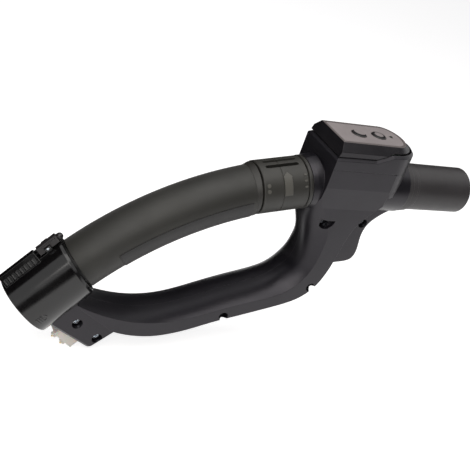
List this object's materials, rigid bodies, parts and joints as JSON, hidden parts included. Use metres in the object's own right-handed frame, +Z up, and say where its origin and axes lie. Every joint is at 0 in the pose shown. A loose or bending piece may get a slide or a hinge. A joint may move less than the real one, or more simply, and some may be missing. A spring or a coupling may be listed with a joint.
{
  "type": "vacuum hose handle",
  "caption": "Powered hose handle with a curved grip tube, a guard loop, a keypad pod, a suction ring and a latching wand collar with an electric connector.",
  "frame": {"origin": "centre of the hose tube's open end", "axes": "+X runs out of the hose tube along its axis, +Z is up with the keypad on top, and Y = 0 is the plane the two housing shells meet on"},
  "size_m": [0.3936, 0.053, 0.212],
  "materials": {
    "housing": "satin moulded",
    "pod_band": "satin moulded",
    "control_cap": "semi-gloss",
    "keypad_label": "satin film",
    "power_button": "satin",
    "brush_button": "satin",
    "status_led": "clear-coated",
    "control_board": "solder mask",
    "button_switches": "moulded",
    "hose_tube": "satin moulded",
    "tube_collar": "satin moulded",
    "air_duct": "moulded",
    "grip_tube": "moulded",
    "grip_sleeve": "soft touch",
    "grip_inlay": "fine grained",
    "grip_end_bead": "soft touch",
    "suction_ring": "satin moulded",
    "ring_retainer": "satin moulded",
    "wand_collar": "polished",
    "wand_socket": "moulded",
    "latch_rail": "satin moulded",
    "latch_lever": "satin moulded",
    "latch_pin": "ground",
    "connector_housing": "satin moulded",
    "connector_plug": "moulded",
    "connector_pins": "plated",
    "screws": "zinc plated"
  },
  "bodies": {
    "handle": {"housing_near_shell": "housing", "housing_far_shell": "housing", "pod_band": "pod_band", "control_cap": "control_cap", "keypad_label": "keypad_label", "status_led": "status_led", "control_board": "control_board", "button_switches": "button_switches", "tube_collar": "tube_collar", "air_duct": "air_duct", "grip_tube": "grip_tube", "grip_sleeve": "grip_sleeve", "grip_inlay": "grip_inlay", "grip_end_bead": "grip_end_bead", "ring_retainer": "ring_retainer", "wand_collar": "wand_collar", "wand_socket": "wand_socket", "latch_rail": "latch_rail", "latch_pin": "latch_pin", "connector_housing": "connector_housing", "connector_plug": "connector_plug", "connector_pins": "connector_pins", "housing_screws": "screws", "bracket_screws": "screws"},
    "hose_swivel": {"hose_tube": "hose_tube"},
    "bleed_ring": {"suction_ring": "suction_ring"},
    "power_key": {"power_button": "power_button"},
    "brush_key": {"brush_button": "brush_button"},
    "latch": {"latch_lever": "latch_lever"}
  },
  "joints": [
    {"name": "hose_swivel", "type": "hinge", "parent": "handle", "child": "hose_swivel", "pos_m": [0, 0, 0], "axis": [1, 0, 0], "continuous": true},
    {"name": "suction_ring_turn", "type": "hinge", "parent": "handle", "child": "bleed_ring", "pos_m": [-0.20752, 0, -0.0117], "axis": [-0.9799, 0, -0.1994], "range_deg": [0, 60]},
    {"name": "power_press", "type": "slide", "parent": "handle", "child": "power_key", "axis": [0, 0, -1], "range_m": [0, 0.001], "stiffness_N_per_m": 800},
    {"name": "brush_press", "type": "slide", "parent": "handle", "child": "brush_key", "axis": [0, 0, -1], "range_m": [0, 0.001], "stiffness_N_per_m": 800},
    {"name": "latch_release", "type": "hinge", "parent": "handle", "child": "latch", "pos_m": [-0.36318, 0, -0.07225], "axis": [0, 1, 0], "range_deg": [0, 11], "stiffness_Nm_per_rad": 0.5}
  ]
}
